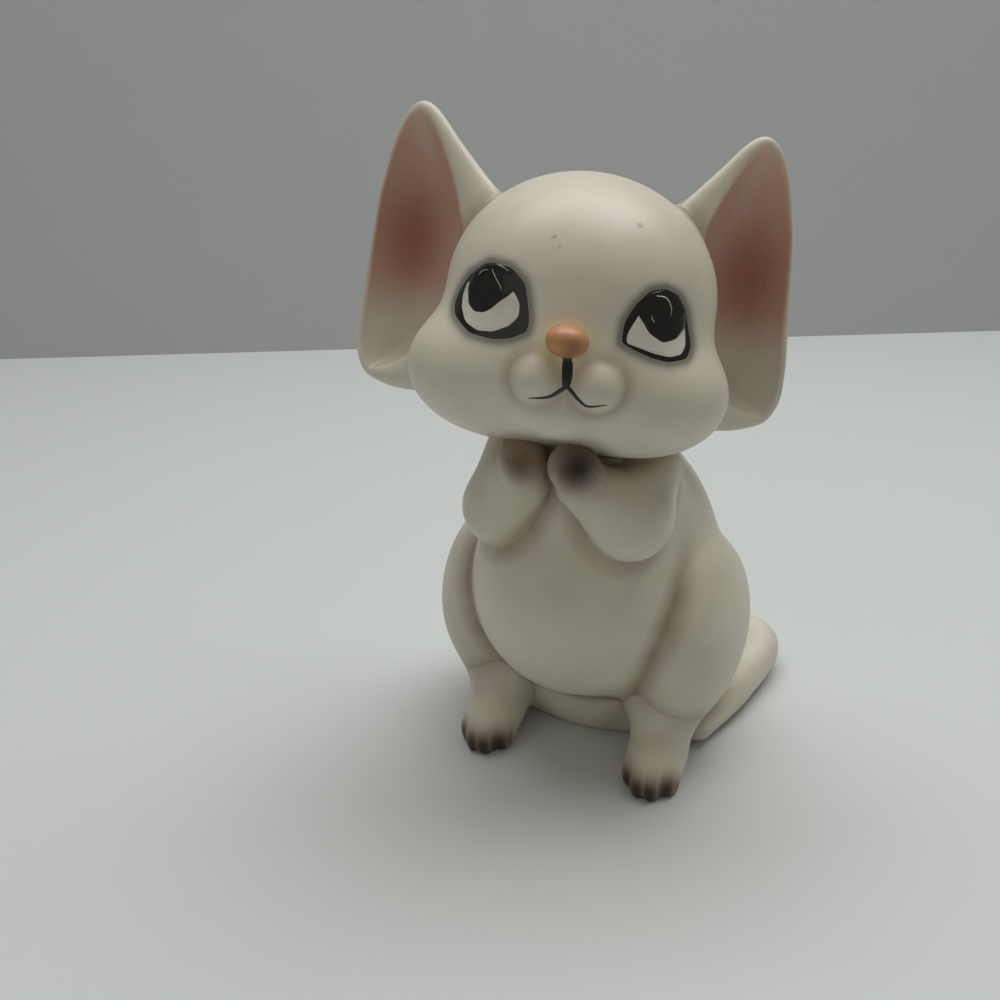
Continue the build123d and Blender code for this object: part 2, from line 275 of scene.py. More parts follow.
def add_mix(tree, factor, first, second):
    """A colour mix node: its factor is input 0, and its colours are inputs 6 and 7 and output 2."""
    node = tree.nodes.new("ShaderNodeMix")
    node.data_type = "RGBA"
    for place, value in ((0, factor), (6, first), (7, second)):
        feed(tree, node.inputs[place], value)
    return node.outputs[2]


def add_noise(tree, place, scale, detail):
    """A noise node that reads a place; its scale is features per metre."""
    node = tree.nodes.new("ShaderNodeTexNoise")
    node.inputs["Scale"].default_value = scale
    node.inputs["Detail"].default_value = detail
    tree.links.new(place, node.inputs["Vector"])
    return node.outputs["Fac"]


def add_mask(tree, name):
    """The socket of a vertex mask."""
    node = tree.nodes.new("ShaderNodeAttribute")
    node.attribute_name = name
    return node.outputs["Fac"]


def add_group(tree, group, **inputs):
    """A node that shows a group, with its inputs fed."""
    node = tree.nodes.new("ShaderNodeGroup")
    node.node_tree = group
    for socket, value in inputs.items():
        feed(tree, node.inputs[socket], value)
    return node


def make_glaze_group():
    """Glaze: its colour mixed to the pooled one by pooled glaze and painted shade in creases and by
    cloud, with specks over both.
    """
    group, given, shown = new_group(
        "uneven_glaze",
        {"Place": "Vector", "Glaze": "Color", "Pooled": "Color", "CreaseShade": "Float",
         "Speck": "Float"},
        {"Colour": "Color", "Roughness": "Float", "Height": "Float"},
    )
    cloud = add_noise(group, given.outputs["Place"], *CLOUD)
    streak = add_noise(group, given.outputs["Place"], *STREAK)
    peel = add_noise(group, given.outputs["Place"], *PEEL)
    streaky = add_math(group, "MULTIPLY_ADD", streak, *STREAK_TINT)
    darkening = add_math(group, "MULTIPLY", given.outputs["CreaseShade"], streaky)
    darkening = add_math(group, "ADD", darkening, add_math(group, "MULTIPLY_ADD", cloud, *CLOUD_TINT))
    darkening = add_clamp(group, darkening)
    tinted = add_mix(group, darkening, given.outputs["Glaze"], given.outputs["Pooled"])
    specked = add_mix(group, given.outputs["Speck"], tinted, SPECK_COLOUR)
    rough = add_math(group, "MULTIPLY_ADD", streak, *GLAZE_ROUGHNESS)
    swell = add_math(group, "MULTIPLY", cloud, CLOUD_HEIGHT)
    height = add_math(group, "MULTIPLY_ADD", peel, PEEL_HEIGHT, swell)
    group.links.new(specked, shown.inputs["Colour"])
    group.links.new(rough, shown.inputs["Roughness"])
    group.links.new(height, shown.inputs["Height"])
    return group


def make_spray_group():
    """Spray: an amount a of paint, with grains that add 2a(1 - a)(2n - 1) at its edge."""
    group, given, shown = new_group(
        "grainy_spray",
        {"Place": "Vector", "Under": "Color", "Paint": "Color", "Amount": "Float",
         "Grain": "Float"},
        {"Colour": "Color"},
    )
    grains = add_noise(group, given.outputs["Place"], *GRAINS)
    centred = add_math(group, "MULTIPLY_ADD", grains, 2.0, -1.0)
    bare = add_math(group, "SUBTRACT", 1.0, given.outputs["Amount"])
    edge = add_math(group, "MULTIPLY", given.outputs["Amount"], bare)
    scatter = add_math(group, "MULTIPLY", centred, given.outputs["Grain"])
    loose = add_math(group, "MULTIPLY", edge, scatter)
    amount = add_math(group, "MULTIPLY_ADD", loose, 2.0, given.outputs["Amount"])
    amount = add_clamp(group, amount)
    sprayed = add_mix(group, amount, given.outputs["Under"], given.outputs["Paint"])
    group.links.new(sprayed, shown.inputs["Colour"])
    return group


glaze_group = make_glaze_group()
spray_group = make_spray_group()


def coated(name, group, bump_strength, coat, **inputs):
    """A material whose colour, roughness and bump come from a group, under a clear coat.

    It is returned with the group's node and the place that feeds it.
    """
    material = bpy.data.materials.new(name)
    material.use_nodes = True
    tree = material.node_tree
    shader = tree.nodes["Principled BSDF"]
    place = tree.nodes.new("ShaderNodeTexCoord").outputs["Object"]
    layer = add_group(tree, group, Place=place, **inputs)
    bump = tree.nodes.new("ShaderNodeBump")
    bump.inputs["Strength"].default_value = bump_strength
    bump.inputs["Distance"].default_value = MM
    tree.links.new(layer.outputs["Height"], bump.inputs["Height"])
    tree.links.new(bump.outputs["Normal"], shader.inputs["Normal"])
    tree.links.new(layer.outputs["Colour"], shader.inputs["Base Color"])
    tree.links.new(layer.outputs["Roughness"], shader.inputs["Roughness"])
    shader.inputs["Coat Weight"].default_value = coat[0]
    shader.inputs["Coat Roughness"].default_value = coat[1]
    return material, layer, place


def porcelain(name, paints):
    """Glazed porcelain with sprayed paints, each a mask's name, a colour and a grain."""
    material, glaze, place = coated(
        name, glaze_group, GLAZE_BUMP, GLAZE_COAT, Glaze=GLAZE_COLOUR, Pooled=POOLED_SHADE_COLOUR
    )
    tree = material.node_tree
    tree.links.new(add_mask(tree, "crease"), glaze.inputs["CreaseShade"])
    tree.links.new(add_mask(tree, "speck"), glaze.inputs["Speck"])
    shown = glaze.outputs["Colour"]
    for mask, paint, grain in paints:
        amount = add_mask(tree, mask)
        spray = add_group(
            tree, spray_group, Place=place, Under=shown, Paint=paint, Amount=amount, Grain=grain
        )
        shown = spray.outputs["Colour"]
    tree.links.new(shown, tree.nodes["Principled BSDF"].inputs["Base Color"])
    return material


SPECK_STRENGTH = 0.45
SPECK_EDGE = (1.5, 0.4)
BODY_SPECKS = [(9.0, -2.7, 38.5, 0.25), (15.2, -3.9, 20.5, 0.3), (13.6, -4.5, 6.5, 0.35)]
# Creases beside and under the belly: pooled glaze and painted shade, fading backwards.
POOL_SHADE_WIDTH = 2.6
SIDE_POOL_SHADE = 0.8
SIDE_POOL_SHADE_FADE = (4.0, -4.0)
UNDER_POOL_SHADE = 0.95
UNDER_POOL_SHADE_FADE = (8.0, 2.0)
BODY_JOINT_POOL_SHADE = 0.7
plain_glaze = porcelain("plain_glaze", [])


def speck_mask(points, specks):
    """Dark specks: a small soft spot round each place x, y, z, with its radius last."""
    mask = np.zeros(len(points))
    for x, y, z, radius in specks:
        away = np.linalg.norm(points - [x, y, z], axis=1) / radius
        mask = np.maximum(mask, SPECK_STRENGTH * ease(*SPECK_EDGE, away))
    return mask


def seam(first, second, width):
    """1 where two distances are the same, falling evenly to 0 where they differ by a width."""
    return np.clip(1 - np.abs(first - second) / width, 0, 1)


def body_masks(points):
    """Pooled glaze and painted shade beside the belly and under it, fading backwards, and three
    specks.
    """
    belly = egg(points, **BELLY)
    haunch = egg(fold(points), **HAUNCH)
    beside = seam(belly, haunch, POOL_SHADE_WIDTH) * ease(*SIDE_POOL_SHADE_FADE, points[:, 1])
    under = seam(np.minimum(belly, haunch), seat_form(points), POOL_SHADE_WIDTH)
    under = under * ease(*UNDER_POOL_SHADE_FADE, points[:, 1])
    crease = np.maximum(SIDE_POOL_SHADE * beside, UNDER_POOL_SHADE * under)
    return {"crease": crease, "speck": speck_mask(points, BODY_SPECKS)}


# A casting is kept with its form, a way to find its skin on that form once it is luted, its paint
# and how strongly the glaze pools, with painted shade, at its joints. All of them are fired
# together, further down.
castings = {}
castings["body_casting"] = dict(
    skin="glazed_body", form=body_form, columns=BODY_GRID[1],
    find=partial(cast_rays, origins=BODY_CORE, rays=ball_rays(*BODY_GRID, "Z"), reach=BODY_REACH),
    masks=body_masks, pool_shade=BODY_JOINT_POOL_SHADE, glaze=plain_glaze, slot="porcelain",
)

# Head: a hollow porcelain ball with full cheeks, two whisker pads and a small chin, luted to the
# body at the neck. It is turned, tipped back and tilted, so its form has a frame of its own. Soft
# dark spray runs close round the eyes, and straw yellow round the nose.
HEAD_PLACE = np.array([-0.1, -2.2, 54.8])
HEAD_YAW = 17.5
HEAD_PITCH = -13.0
HEAD_ROLL = 7.0
SKULL = dict(centre=(0, 1.5, 2.6), half=(14.4, 14.2, 12.9))
JAW = dict(centre=(0, 1.0, -5.0), half=(14.2, 13.0, 8.6))
CHEEK = dict(centre=(8.0, -2.5, -6.0), half=(8.9, 9.0, 6.6))
MUZZLE = dict(centre=(0.3, -8.5, -3.2), half=(5.4, 4.5, 4.4))
PAD = dict(centre=(2.75, -11.8, -5.2), half=(2.9, 2.7, 2.75))
CHIN = dict(centre=(-0.2, -9.5, -8.2), half=(3.7, 3.2, 2.8))
MOUTH_X = 0.6
HEAD_BLEND = 5.0
CHIN_BLEND = 3.0
PAD_BLEND = 1.0
HEAD_CORE = np.array([-0.1, -0.2, 53.8])
HEAD_REACH = 40.0
HEAD_GRID = (238, 400)
# The dark spray follows the eyes' painted outlines, which are x and z in the head's frame.
EYE_OUTLINE = {
    1: [(5.0, -0.8), (5.0, 1.2), (5.8, 3.0), (7.0, 4.5), (8.4, 5.0), (9.9, 4.5), (10.9, 3.1),
        (11.5, 1.3), (12.1, -0.5), (11.8, -1.7), (10.1, -2.2), (8.3, -2.0), (6.4, -1.4)],
    -1: [(-12.0, -0.6), (-12.3, 0.5), (-11.9, 1.9), (-10.8, 3.7), (-8.6, 5.2), (-6.2, 4.9),
         (-4.6, 3.6), (-4.0, 1.7), (-3.6, 0.0), (-3.7, -1.1), (-5.3, -2.0), (-7.2, -2.4),
         (-9.7, -2.2), (-11.0, -1.4)],
}
EYE_KEEP = 1.3
EYE_HALO = 0.75
EYE_HALO_WIDTH = 0.55
EYE_HALO_POINTS = 160
FACE_FRONT = (-4.0, -7.0)
NOSE = dict(centre=(0.1, -13.6, -1.2), half=(2.0, 1.9, 1.5))
STRAW = 0.6
STRAW_RADIUS = 3.1
# Round the whisker pads and at the head's joints: pooled glaze and painted shade.
PAD_POOL_SHADE = 0.55
PAD_POOL_SHADE_WIDTH = 1.2
HEAD_JOINT_POOL_SHADE = 0.8
HEAD_SPECKS = [(-2.7, -11.1, 8.1, 0.22), (-2.0, -11.6, 7.3, 0.16), (5.1, -8.7, 10.3, 0.35)]
head_turn = turned("Z", HEAD_YAW) @ turned("X", HEAD_PITCH) @ turned("Y", HEAD_ROLL)
face_glaze = porcelain("face_glaze", [
    ("straw", colour(224, 202, 150), 0.2), ("spray", colour(72, 66, 58), 0.1),
])


def to_head(points):
    """Points of the body's frame, in the head's own frame."""
    return (points - HEAD_PLACE) @ head_turn


def from_head(points):
    """Points of the head's own frame, in the body's."""
    return points @ head_turn.T + HEAD_PLACE


def bare_face(own):
    """Distance to the head without its pads: skull, jaw, cheeks, muzzle and chin."""
    face = blend(egg(own, **SKULL), egg(own, **JAW), HEAD_BLEND)
    face = blend(face, egg(fold(own), **CHEEK), HEAD_BLEND)
    face = blend(face, egg(own, **MUZZLE), HEAD_BLEND)
    return blend(face, egg(own, **CHIN), CHIN_BLEND)


def whisker_pads(own):
    """Distance to the two pads, the same to either side of the mouth."""
    return egg(fold(own - [MOUTH_X, 0, 0]), **PAD)


def head_form(points):
    """Distance to the head: the bare face with its pads, in the head's own frame."""
    own = to_head(points)
    return blend(bare_face(own), whisker_pads(own), PAD_BLEND)


def closed_curve(knots, count, keep):
    """Points on a closed outline: its Fourier series, damped as exp(-(w/kn)^2) with n knots."""
    knots = np.array(knots, float)
    steps = np.linalg.norm(np.roll(knots, -1, axis=0) - knots, axis=1)
    knot_places = np.concatenate([[0], np.cumsum(steps)]) / steps.sum()
    places = np.arange(count) / count
    looped = np.vstack([knots, knots[:1]])
    raw = np.stack([np.interp(places, knot_places, looped[:, axis]) for axis in (0, 1)], axis=1)
    waves = np.fft.fft(raw[:, 0] + 1j * raw[:, 1])
    speed = np.abs(np.fft.fftfreq(count, 1 / count))
    curve = np.fft.ifft(waves * np.exp(-((speed / (keep * len(knots))) ** 2)))
    return np.stack([curve.real, curve.imag], axis=1)


def head_masks(points):
    """The face's sprays, each e^-(d/w)^n at a distance d, with pooled glaze and painted shade round
    the pads.
    """
    own = to_head(points)
    front = ease(*FACE_FRONT, own[:, 1])
    nearest = np.full(len(points), np.inf)
    for knots in EYE_OUTLINE.values():
        for x, z in closed_curve(knots, EYE_HALO_POINTS, EYE_KEEP):
            nearest = np.minimum(nearest, np.hypot(own[:, 0] - x, own[:, 2] - z))
    halo = EYE_HALO * np.exp(-((nearest / EYE_HALO_WIDTH) ** 2))
    from_nose = np.linalg.norm(own - NOSE["centre"], axis=1)
    round_pads = seam(whisker_pads(own), bare_face(own), PAD_POOL_SHADE_WIDTH)
    return {
        "spray": halo * front,
        "straw": STRAW * np.exp(-((from_nose / STRAW_RADIUS) ** 4)),
        "crease": PAD_POOL_SHADE * round_pads * front,
        "speck": speck_mask(own, HEAD_SPECKS),
    }


castings["head_casting"] = dict(
    skin="glazed_head", form=head_form, columns=HEAD_GRID[1],
    find=partial(cast_rays, origins=HEAD_CORE, rays=ball_rays(*HEAD_GRID, "X"), reach=HEAD_REACH),
    masks=head_masks, pool_shade=HEAD_JOINT_POOL_SHADE, glaze=face_glaze, slot="porcelain",
)

# Ears: two deep porcelain dishes, cast apart and luted to the sides of the skull. The outer edge
# of a dish is thin, and the inner edge swells into a roll that runs down to the head. Pink is
# sprayed into the dish, deeper in its middle.
SIDES = {"right": 1, "left": -1}
EAR_PLACE = {1: np.array([10.5, 4.5, 0.2]), -1: np.array([13.0, 4.5, 0.6])}
EAR_TURN = 20.0
EAR_NOD = {1: 5.0, -1: 0.0}
EAR_LEAN = {1: -5.5, -1: 1.0}
EAR_MIDDLE = np.array([5.5, -1.0])
EAR_DEPTH = 5.0
EAR_WALL = 1.6
# The rim is x and z on the dish's own plane. The roll is how far the rim has swollen, from 0 to 1,
# at angles in degrees round the middle of the dish.
EAR_RIM = [
    (14.0, -4.0), (13.3, 4.0), (12.5, 11.0), (11.3, 16.5), (9.8, 19.9), (8.0, 21.2),
    (6.1, 20.1), (3.2, 17.0), (-0.5, 13.4), (-5.0, 9.6), (-7.5, 0.0), (-5.0, -8.0),
    (2.0, -11.2), (8.6, -11.4), (12.6, -10.4), (14.0, -7.6),
]
EAR_RIM_RADIUS = 0.5
EAR_RIM_POINTS = 512
EAR_RIM_KEEP = 1.2
EAR_ROLL = np.array([
    (60, 0.0), (83, 0.12), (97, 0.39), (112, 0.73), (138, 0.94), (200, 1.0), (250, 0.82),
    (268, 0.7), (281, 0.52), (290, 0.33), (298, 0.15), (306, 0.01), (330, 0.0),
])
EAR_ROLL_HALF_WIDTH = 3.8
EAR_ROLL_HALF_DEPTH = 1.8
EAR_ROLL_SETBACK = 0.5
EAR_ROLL_LIP = pi / 4
EAR_BLEND = 0.3
EAR_FLAT_SHARE = 0.25
EAR_STEEPNESS = 3.0
EAR_ROWS = (50, 40, 48)
EAR_COLUMNS = 320
EAR_JOINT_POOL_SHADE = 0.8
PINK_FRONT = (0.6, -0.1)
PINK_EDGE_HEIGHT = 0.5
PINK_REACH = (1.07, 0.99)
PINK_FOOT = (-5.0, 2.5)
PINK_DEEP_PLACE = np.array([9.0, 6.0])
PINK_DEEP_SIZE = np.array([3.6, 6.5])
NUDGE = 0.01
LEAST_SLOPE = 0.2
LONGEST_STEP = 0.5
SETTLING_STEPS = 3
ear_turns = {
    side: turned("Z", EAR_TURN) @ turned("X", EAR_NOD[side]) @ turned("Y", EAR_LEAN[side])
    for side in SIDES.values()
}
ear_spokes = closed_curve(EAR_RIM, EAR_RIM_POINTS, EAR_RIM_KEEP) - EAR_MIDDLE
ear_angles = np.arctan2(ear_spokes[:, 1], ear_spokes[:, 0])
ear_order = np.argsort(ear_angles)
ear_reaches = np.linalg.norm(ear_spokes, axis=1)
ear_glaze = porcelain("ear_glaze", [
    ("spray", colour(204, 170, 152), 0.3), ("deep", colour(168, 106, 86), 0.4),
])


def ear_spoke(angles):
    """On a spoke: where the roll begins and its middle, its half width and depth, and steepness."""
    length = np.interp(angles, ear_angles[ear_order], ear_reaches[ear_order], period=2 * pi)
    swell = np.interp(np.degrees(angles), *EAR_ROLL.T, period=360)
    half_width = EAR_RIM_RADIUS + (EAR_ROLL_HALF_WIDTH - EAR_RIM_RADIUS) * swell
    half_depth = EAR_RIM_RADIUS + (EAR_ROLL_HALF_DEPTH - EAR_RIM_RADIUS) * swell
    lip = length - half_width * (1 + cos(EAR_ROLL_LIP))
    return lip, length - half_width, half_width, half_depth, EAR_STEEPNESS - np.cos(angles)


def ear_face(share, floor, edge, steepness):
    """Height of a face of the dish: floor + (edge - floor) s^n, with s from its flat outwards."""
    climb = np.clip((share - EAR_FLAT_SHARE) / (1 - EAR_FLAT_SHARE), 0, 1)
    return floor + (edge - floor) * climb**steepness


def dish_front(share, half_depth, steepness):
    """The front face of the dish, which ends at the lip of the roll."""
    edge = half_depth * (EAR_ROLL_SETBACK - sin(EAR_ROLL_LIP))
    return ear_face(share, EAR_DEPTH - EAR_WALL / 2, edge, steepness)


def dish_back(share, half_depth, steepness):
    """The back face of the dish, which ends at the back of the roll."""
    edge = half_depth * (EAR_ROLL_SETBACK + 1)
    return ear_face(share, EAR_DEPTH + EAR_WALL / 2, edge, steepness)


def to_ear(points, side):
    """Points of the body's frame, on an ear's own plane, from the middle of its dish."""
    own = (to_head(points) * [side, 1, 1] - EAR_PLACE[side]) @ ear_turns[side]
    return own - [EAR_MIDDLE[0], 0, EAR_MIDDLE[1]]


def ear_form(points, side):
    """Distance to an ear: its plate between two faces, joined to the oval roll round it."""
    x, y, z = np.moveaxis(to_ear(points, side), -1, 0)
    away = np.hypot(x, z)
    lip, middle, half_width, half_depth, steepness = ear_spoke(np.arctan2(z, x))
    front = dish_front(away / lip, half_depth, steepness)
    back = dish_back(away / middle, half_depth, steepness)
    slope = EAR_DEPTH * steepness / middle * np.clip(away / lip, 0, 1) ** (steepness - 1)
    plate = np.maximum(front - y, y - back) / np.hypot(1, slope)
    plate = np.maximum(plate, away - middle)
    over = y - half_depth * EAR_ROLL_SETBACK
    near = np.hypot((away - middle) / half_width, over / half_depth)
    lean = np.hypot((away - middle) / half_width**2, over / half_depth**2)
    roll = near * (near - 1) / (lean + TINY)
    return blend(plate, roll, EAR_BLEND)


def ear_guess(side):
    """A closed skin round one ear: over its front face, round the roll and over its back."""
    angles = np.linspace(0, 2 * pi, EAR_COLUMNS, endpoint=False)[None, :]
    lip, middle, half_width, half_depth, steepness = ear_spoke(angles)
    front_share = np.linspace(0, 1, EAR_ROWS[0] + 1)[1:, None]
    turn = np.linspace(pi - EAR_ROLL_LIP, -pi / 2, EAR_ROWS[1] + 1)[1:-1, None]
    back_share = np.linspace(1, 0, EAR_ROWS[2] + 1)[:-1, None]
    away = np.vstack([front_share * lip, middle + half_width * np.cos(turn), back_share * middle])
    y = np.vstack([
        dish_front(front_share, half_depth, steepness),
        half_depth * EAR_ROLL_SETBACK - half_depth * np.sin(turn),
        dish_back(back_share, half_depth, steepness),
    ])
    own = np.stack([away * np.cos(angles), y, away * np.sin(angles)], axis=-1).reshape(-1, 3)
    front_pole = [0, EAR_DEPTH - EAR_WALL / 2, 0]
    back_pole = [0, EAR_DEPTH + EAR_WALL / 2, 0]
    own = np.vstack([front_pole, own, back_pole]) + [EAR_MIDDLE[0], 0, EAR_MIDDLE[1]]
    return from_head((own @ ear_turns[side].T + EAR_PLACE[side]) * [side, 1, 1])


def slope_of(form, points):
    """Slope of a form at each point, by a small nudge along each axis."""
    here = form(points)
    return np.stack([form(points + step) - here for step in np.eye(3) * NUDGE], axis=-1) / NUDGE


def settled(form, points, steps):
    """Points moved onto a form by p - f(p) g / |g|^2, with g its slope, in short steps."""
    for _ in range(steps):
        slope = slope_of(form, points)
        size = np.maximum((slope**2).sum(axis=-1), LEAST_SLOPE)
        step = -(form(points) / size)[:, None] * slope
        length = np.linalg.norm(step, axis=1, keepdims=True)
        points = points + step * np.minimum(1, LONGEST_STEP / np.maximum(length, TINY))
    return points


def ear_masks(points, side):
    """Where an ear is sprayed: pink over its dish, deeper in the middle, clear of the roll."""
    x, y, z = np.moveaxis(to_ear(points, side), -1, 0)
    lip, _, _, _, steepness = ear_spoke(np.arctan2(z, x))
    share = np.hypot(x, z) / lip
    front = ease(*PINK_FRONT, y - ear_face(share, EAR_DEPTH, PINK_EDGE_HEIGHT, steepness))
    flat = np.stack([x, z], axis=-1) + EAR_MIDDLE
    pink = front * ease(*PINK_REACH, share) * ease(*PINK_FOOT, flat[:, 1])
    off_deep = np.linalg.norm((flat - PINK_DEEP_PLACE) / PINK_DEEP_SIZE, axis=1)
    return {"spray": pink, "deep": pink * np.exp(-(off_deep**2))}


for word, side in SIDES.items():
    castings[f"ear_{word}"] = dict(
        skin=f"glazed_ear_{word}", form=partial(ear_form, side=side), columns=EAR_COLUMNS,
        find=partial(settled, points=ear_guess(side), steps=SETTLING_STEPS),
        masks=partial(ear_masks, side=side), pool_shade=EAR_JOINT_POOL_SHADE, glaze=ear_glaze, slot="porcelain",
    )

# Arms: two bent limbs of clay, pressed in a mould and luted to the chest, with the paws together
# under the chin. Shoulder, elbow and wrist are round, and each limb tapers evenly between them.
# The front of each paw is dabbed dark brown, and the dab reaches up under the chin as painted
# shade.
ARM = {
    1: dict(shoulder=(7.6, 0.0, 38.5), elbow=(7.9, -6.2, 35.1), wrist=(3.7, -10.0, 39.8),
            paw=(3.4, -11.6, 42.2)),
    -1: dict(shoulder=(-7.6, 0.0, 38.5), elbow=(-6.9, -6.2, 33.7), wrist=(-2.7, -10.0, 39.7),
             paw=(-2.4, -11.6, 42.2)),
}
SHOULDER_RADIUS = 4.0
ELBOW_RADIUS = 4.6
WRIST_RADIUS = 2.8
PAW_HALF = (2.75, 2.4, 2.7)
ELBOW_BLEND = 2.0
PAW_BLEND = 1.2
ARM_REACH = 20.0
ARM_GRID = (200, 300)
ARM_JOINT_POOL_SHADE = 0.7
# Each paw's dark spot is brown paint and, towards the chin, painted shade.
PAW_PAINT_AND_SHADE = {
    1: dict(offset=(1.2, -2.0, 0.8), strength=1.0, radius=2.9),
    -1: dict(offset=(0.8, -2.2, 0.5), strength=0.45, radius=2.6),
}
PAW_PAINT_AND_SHADE_SHAPE = (1.0, 1.5, 1.0)
PAW_SPRAY = 0.9
PAW_SPRAY_POWER = 0.7
PAW_DEEP_POWER = 1.5
dark_paint_and_shade_glaze = porcelain("dark_paint_and_shade_glaze", [
    ("spray", colour(118, 88, 52), 0.15), ("deep", colour(36, 20, 8), 0.15),
])


def limb(points, start, end, start_radius, end_radius):
    """Distance to a limb whose radius runs evenly from one round end to the other."""
    start = np.array(start, float)
    axis = np.array(end, float) - start
    share = np.clip((points - start) @ axis / (axis @ axis), 0, 1)
    middle = start + share[..., None] * axis
    radius = start_radius + (end_radius - start_radius) * share
    return np.linalg.norm(points - middle, axis=-1) - radius


def arm_form(points, side):
    """Distance to an arm, from the shoulder over the elbow to the paw."""
    arm = ARM[side]
    upper = limb(points, arm["shoulder"], arm["elbow"], SHOULDER_RADIUS, ELBOW_RADIUS)
    fore = limb(points, arm["elbow"], arm["wrist"], ELBOW_RADIUS, WRIST_RADIUS)
    bent = blend(upper, fore, ELBOW_BLEND)
    return blend(bent, egg(points, arm["paw"], PAW_HALF), PAW_BLEND)


def arm_masks(points, side):
    """Where a paw is dark, with brown paint and painted shade under the chin: a soft spot d =
    e^-(a/r)^2 on the front of it.
    """
    dab = PAW_PAINT_AND_SHADE[side]
    spot = np.array(ARM[side]["paw"]) + dab["offset"]
    away = np.linalg.norm((points - spot) / PAW_PAINT_AND_SHADE_SHAPE, axis=1)
    paint = np.exp(-((away / dab["radius"]) ** 2))
    return {
        "spray": PAW_SPRAY * paint**PAW_SPRAY_POWER,
        "deep": dab["strength"] * paint**PAW_DEEP_POWER,
    }


arm_rays = ball_rays(*ARM_GRID, "X")
for word, side in SIDES.items():
    elbow = np.array(ARM[side]["elbow"])
    castings[f"arm_{word}"] = dict(
        skin=f"glazed_arm_{word}", form=partial(arm_form, side=side), columns=ARM_GRID[1],
        find=partial(cast_rays, origins=elbow, rays=arm_rays, reach=ARM_REACH),
        masks=partial(arm_masks, side=side), pool_shade=ARM_JOINT_POOL_SHADE, glaze=dark_paint_and_shade_glaze,
        slot="porcelain",
    )

# Feet: two short front legs with their toes, pressed in clay, luted under the haunches and
# standing on the table. The four toes of a foot are one piece with it, parted by shallow grooves,
# and their fronts are painted dark brown.
FOOT_X = 10.85
STANCE_X = 1.15
LEG_TOP = (2.0, 9.5)
ANKLE = (-3.4, 3.9)
LEG_RADII = (4.6, 3.4)
FOOT_HALF = (3.3, 4.2, 3.8)
FOOT_PLACE = (-5.0, 2.2)
FOOT_BLEND = 2.5
FOOT_ROUNDING = 0.4
TOE_HALF = (1.05, 1.6, 2.2)
TOE_PITCH = 1.6
TOE_ROW = (-8.5, 1.5)
TOE_BOW = 1.9
TOE_BLEND = 1.3
TOE_COUNT = 4
FOOT_REACH = 16.0
FOOT_GRID = (200, 360)
FOOT_JOINT_POOL_SHADE = 0.5
TOE_PAINT_RISE = (4.8, 1.4)
TOE_PAINT_BACK = (-5.2, -8.0)
TOE_GAP_PAINT = 0.6
TOE_DEEP = 0.95


def foot_form(points, side):
    """Distance to a foot: leg, rounded foot and a bowed row of toes, cut at the table."""
    foot_x = STANCE_X + side * FOOT_X
    leg = limb(points, (side * FOOT_X, *LEG_TOP), (foot_x, *ANKLE), *LEG_RADII)
    block = blend(leg, egg(points, (foot_x, *FOOT_PLACE), FOOT_HALF), FOOT_BLEND)
    for place in range(TOE_COUNT):
        offset = 2 * place / (TOE_COUNT - 1) - 1
        toe_x = foot_x + offset * TOE_PITCH * (TOE_COUNT - 1) / 2
        toe = egg(points, (toe_x, TOE_ROW[0] + TOE_BOW * offset**2, TOE_ROW[1]), TOE_HALF)
        block = blend(block, toe, TOE_BLEND)
    return trim(block, -points[..., 2], FOOT_ROUNDING)


def foot_masks(points, side):
    """Where the toes are painted dark: their fronts, fading upwards, with pale gaps between."""
    steps = (points[:, 0] - STANCE_X - side * FOOT_X) / TOE_PITCH + TOE_COUNT / 2
    arch = np.sqrt(np.sin(pi * np.mod(steps, 1)))
    on_toe = TOE_GAP_PAINT + (1 - TOE_GAP_PAINT) * arch
    paint = ease(*TOE_PAINT_RISE, points[:, 2]) * ease(*TOE_PAINT_BACK, points[:, 1]) * on_toe
    return {"spray": paint, "deep": TOE_DEEP * paint**2}


foot_rays = ball_rays(*FOOT_GRID, "X")
for word, side in SIDES.items():
    ankle = np.array([STANCE_X + side * FOOT_X, *ANKLE])
    castings[f"foot_{word}"] = dict(
        skin=f"glazed_foot_{word}", form=partial(foot_form, side=side), columns=FOOT_GRID[1],
        find=partial(cast_rays, origins=ankle, rays=foot_rays, reach=FOOT_REACH),
        masks=partial(foot_masks, side=side), pool_shade=FOOT_JOINT_POOL_SHADE, glaze=dark_paint_and_shade_glaze,
        slot="porcelain",
    )

# Tail: a solid roll of clay, luted to the back at the table and curled round the right side.
# It lies just clear of the table and tapers to a round tip beside the right foot. Only the plain
# glaze covers it.
TAIL_PLACES = [(0, 17), (9, 25.4), (17.5, 25.1), (17, 14), (14.6, 4.4)]
TAIL_RADII = (3.7, 2.1)
TAIL_LIFT = 0.2
TAIL_STATIONS = 40
TAIL_REACH = 8.0
TAIL_GRID = (260, 120)
TAIL_JOINT_POOL_SHADE = 0.7


def open_curve(knots, count):
    """Points on a Catmull-Rom spline: each cubic piece leaves its knots with an even slope."""
    knots = np.array(knots, float)
    held = np.vstack([2 * knots[0] - knots[1], knots, 2 * knots[-1] - knots[-2]])
    travel = np.linspace(0, len(knots) - 1, count)
    piece = np.minimum(travel.astype(int), len(knots) - 2)
    share = (travel - piece)[:, None]
    before, here, there, after = (held[piece + offset] for offset in range(4))
    return (
        2 * here + (there - before) * share
        + (2 * before - 5 * here + 4 * there - after) * share**2
        + (3 * here - before - 3 * there + after) * share**3
    ) / 2


tail_radii = np.linspace(*TAIL_RADII, TAIL_STATIONS)
tail_line = np.column_stack([open_curve(TAIL_PLACES, TAIL_STATIONS), tail_radii + TAIL_LIFT])


def tail_form(points):
    """Distance to the tail: the least over the short tapered limbs along its line."""
    nearest = np.full(points.shape[:-1], np.inf)
    for station in range(TAIL_STATIONS - 1):
        ends = tail_line[station], tail_line[station + 1]
        piece = limb(points, *ends, tail_radii[station], tail_radii[station + 1])
        nearest = np.minimum(nearest, piece)
    return nearest


def tail_masks(points):
    """No paint and no specks."""
    return {}


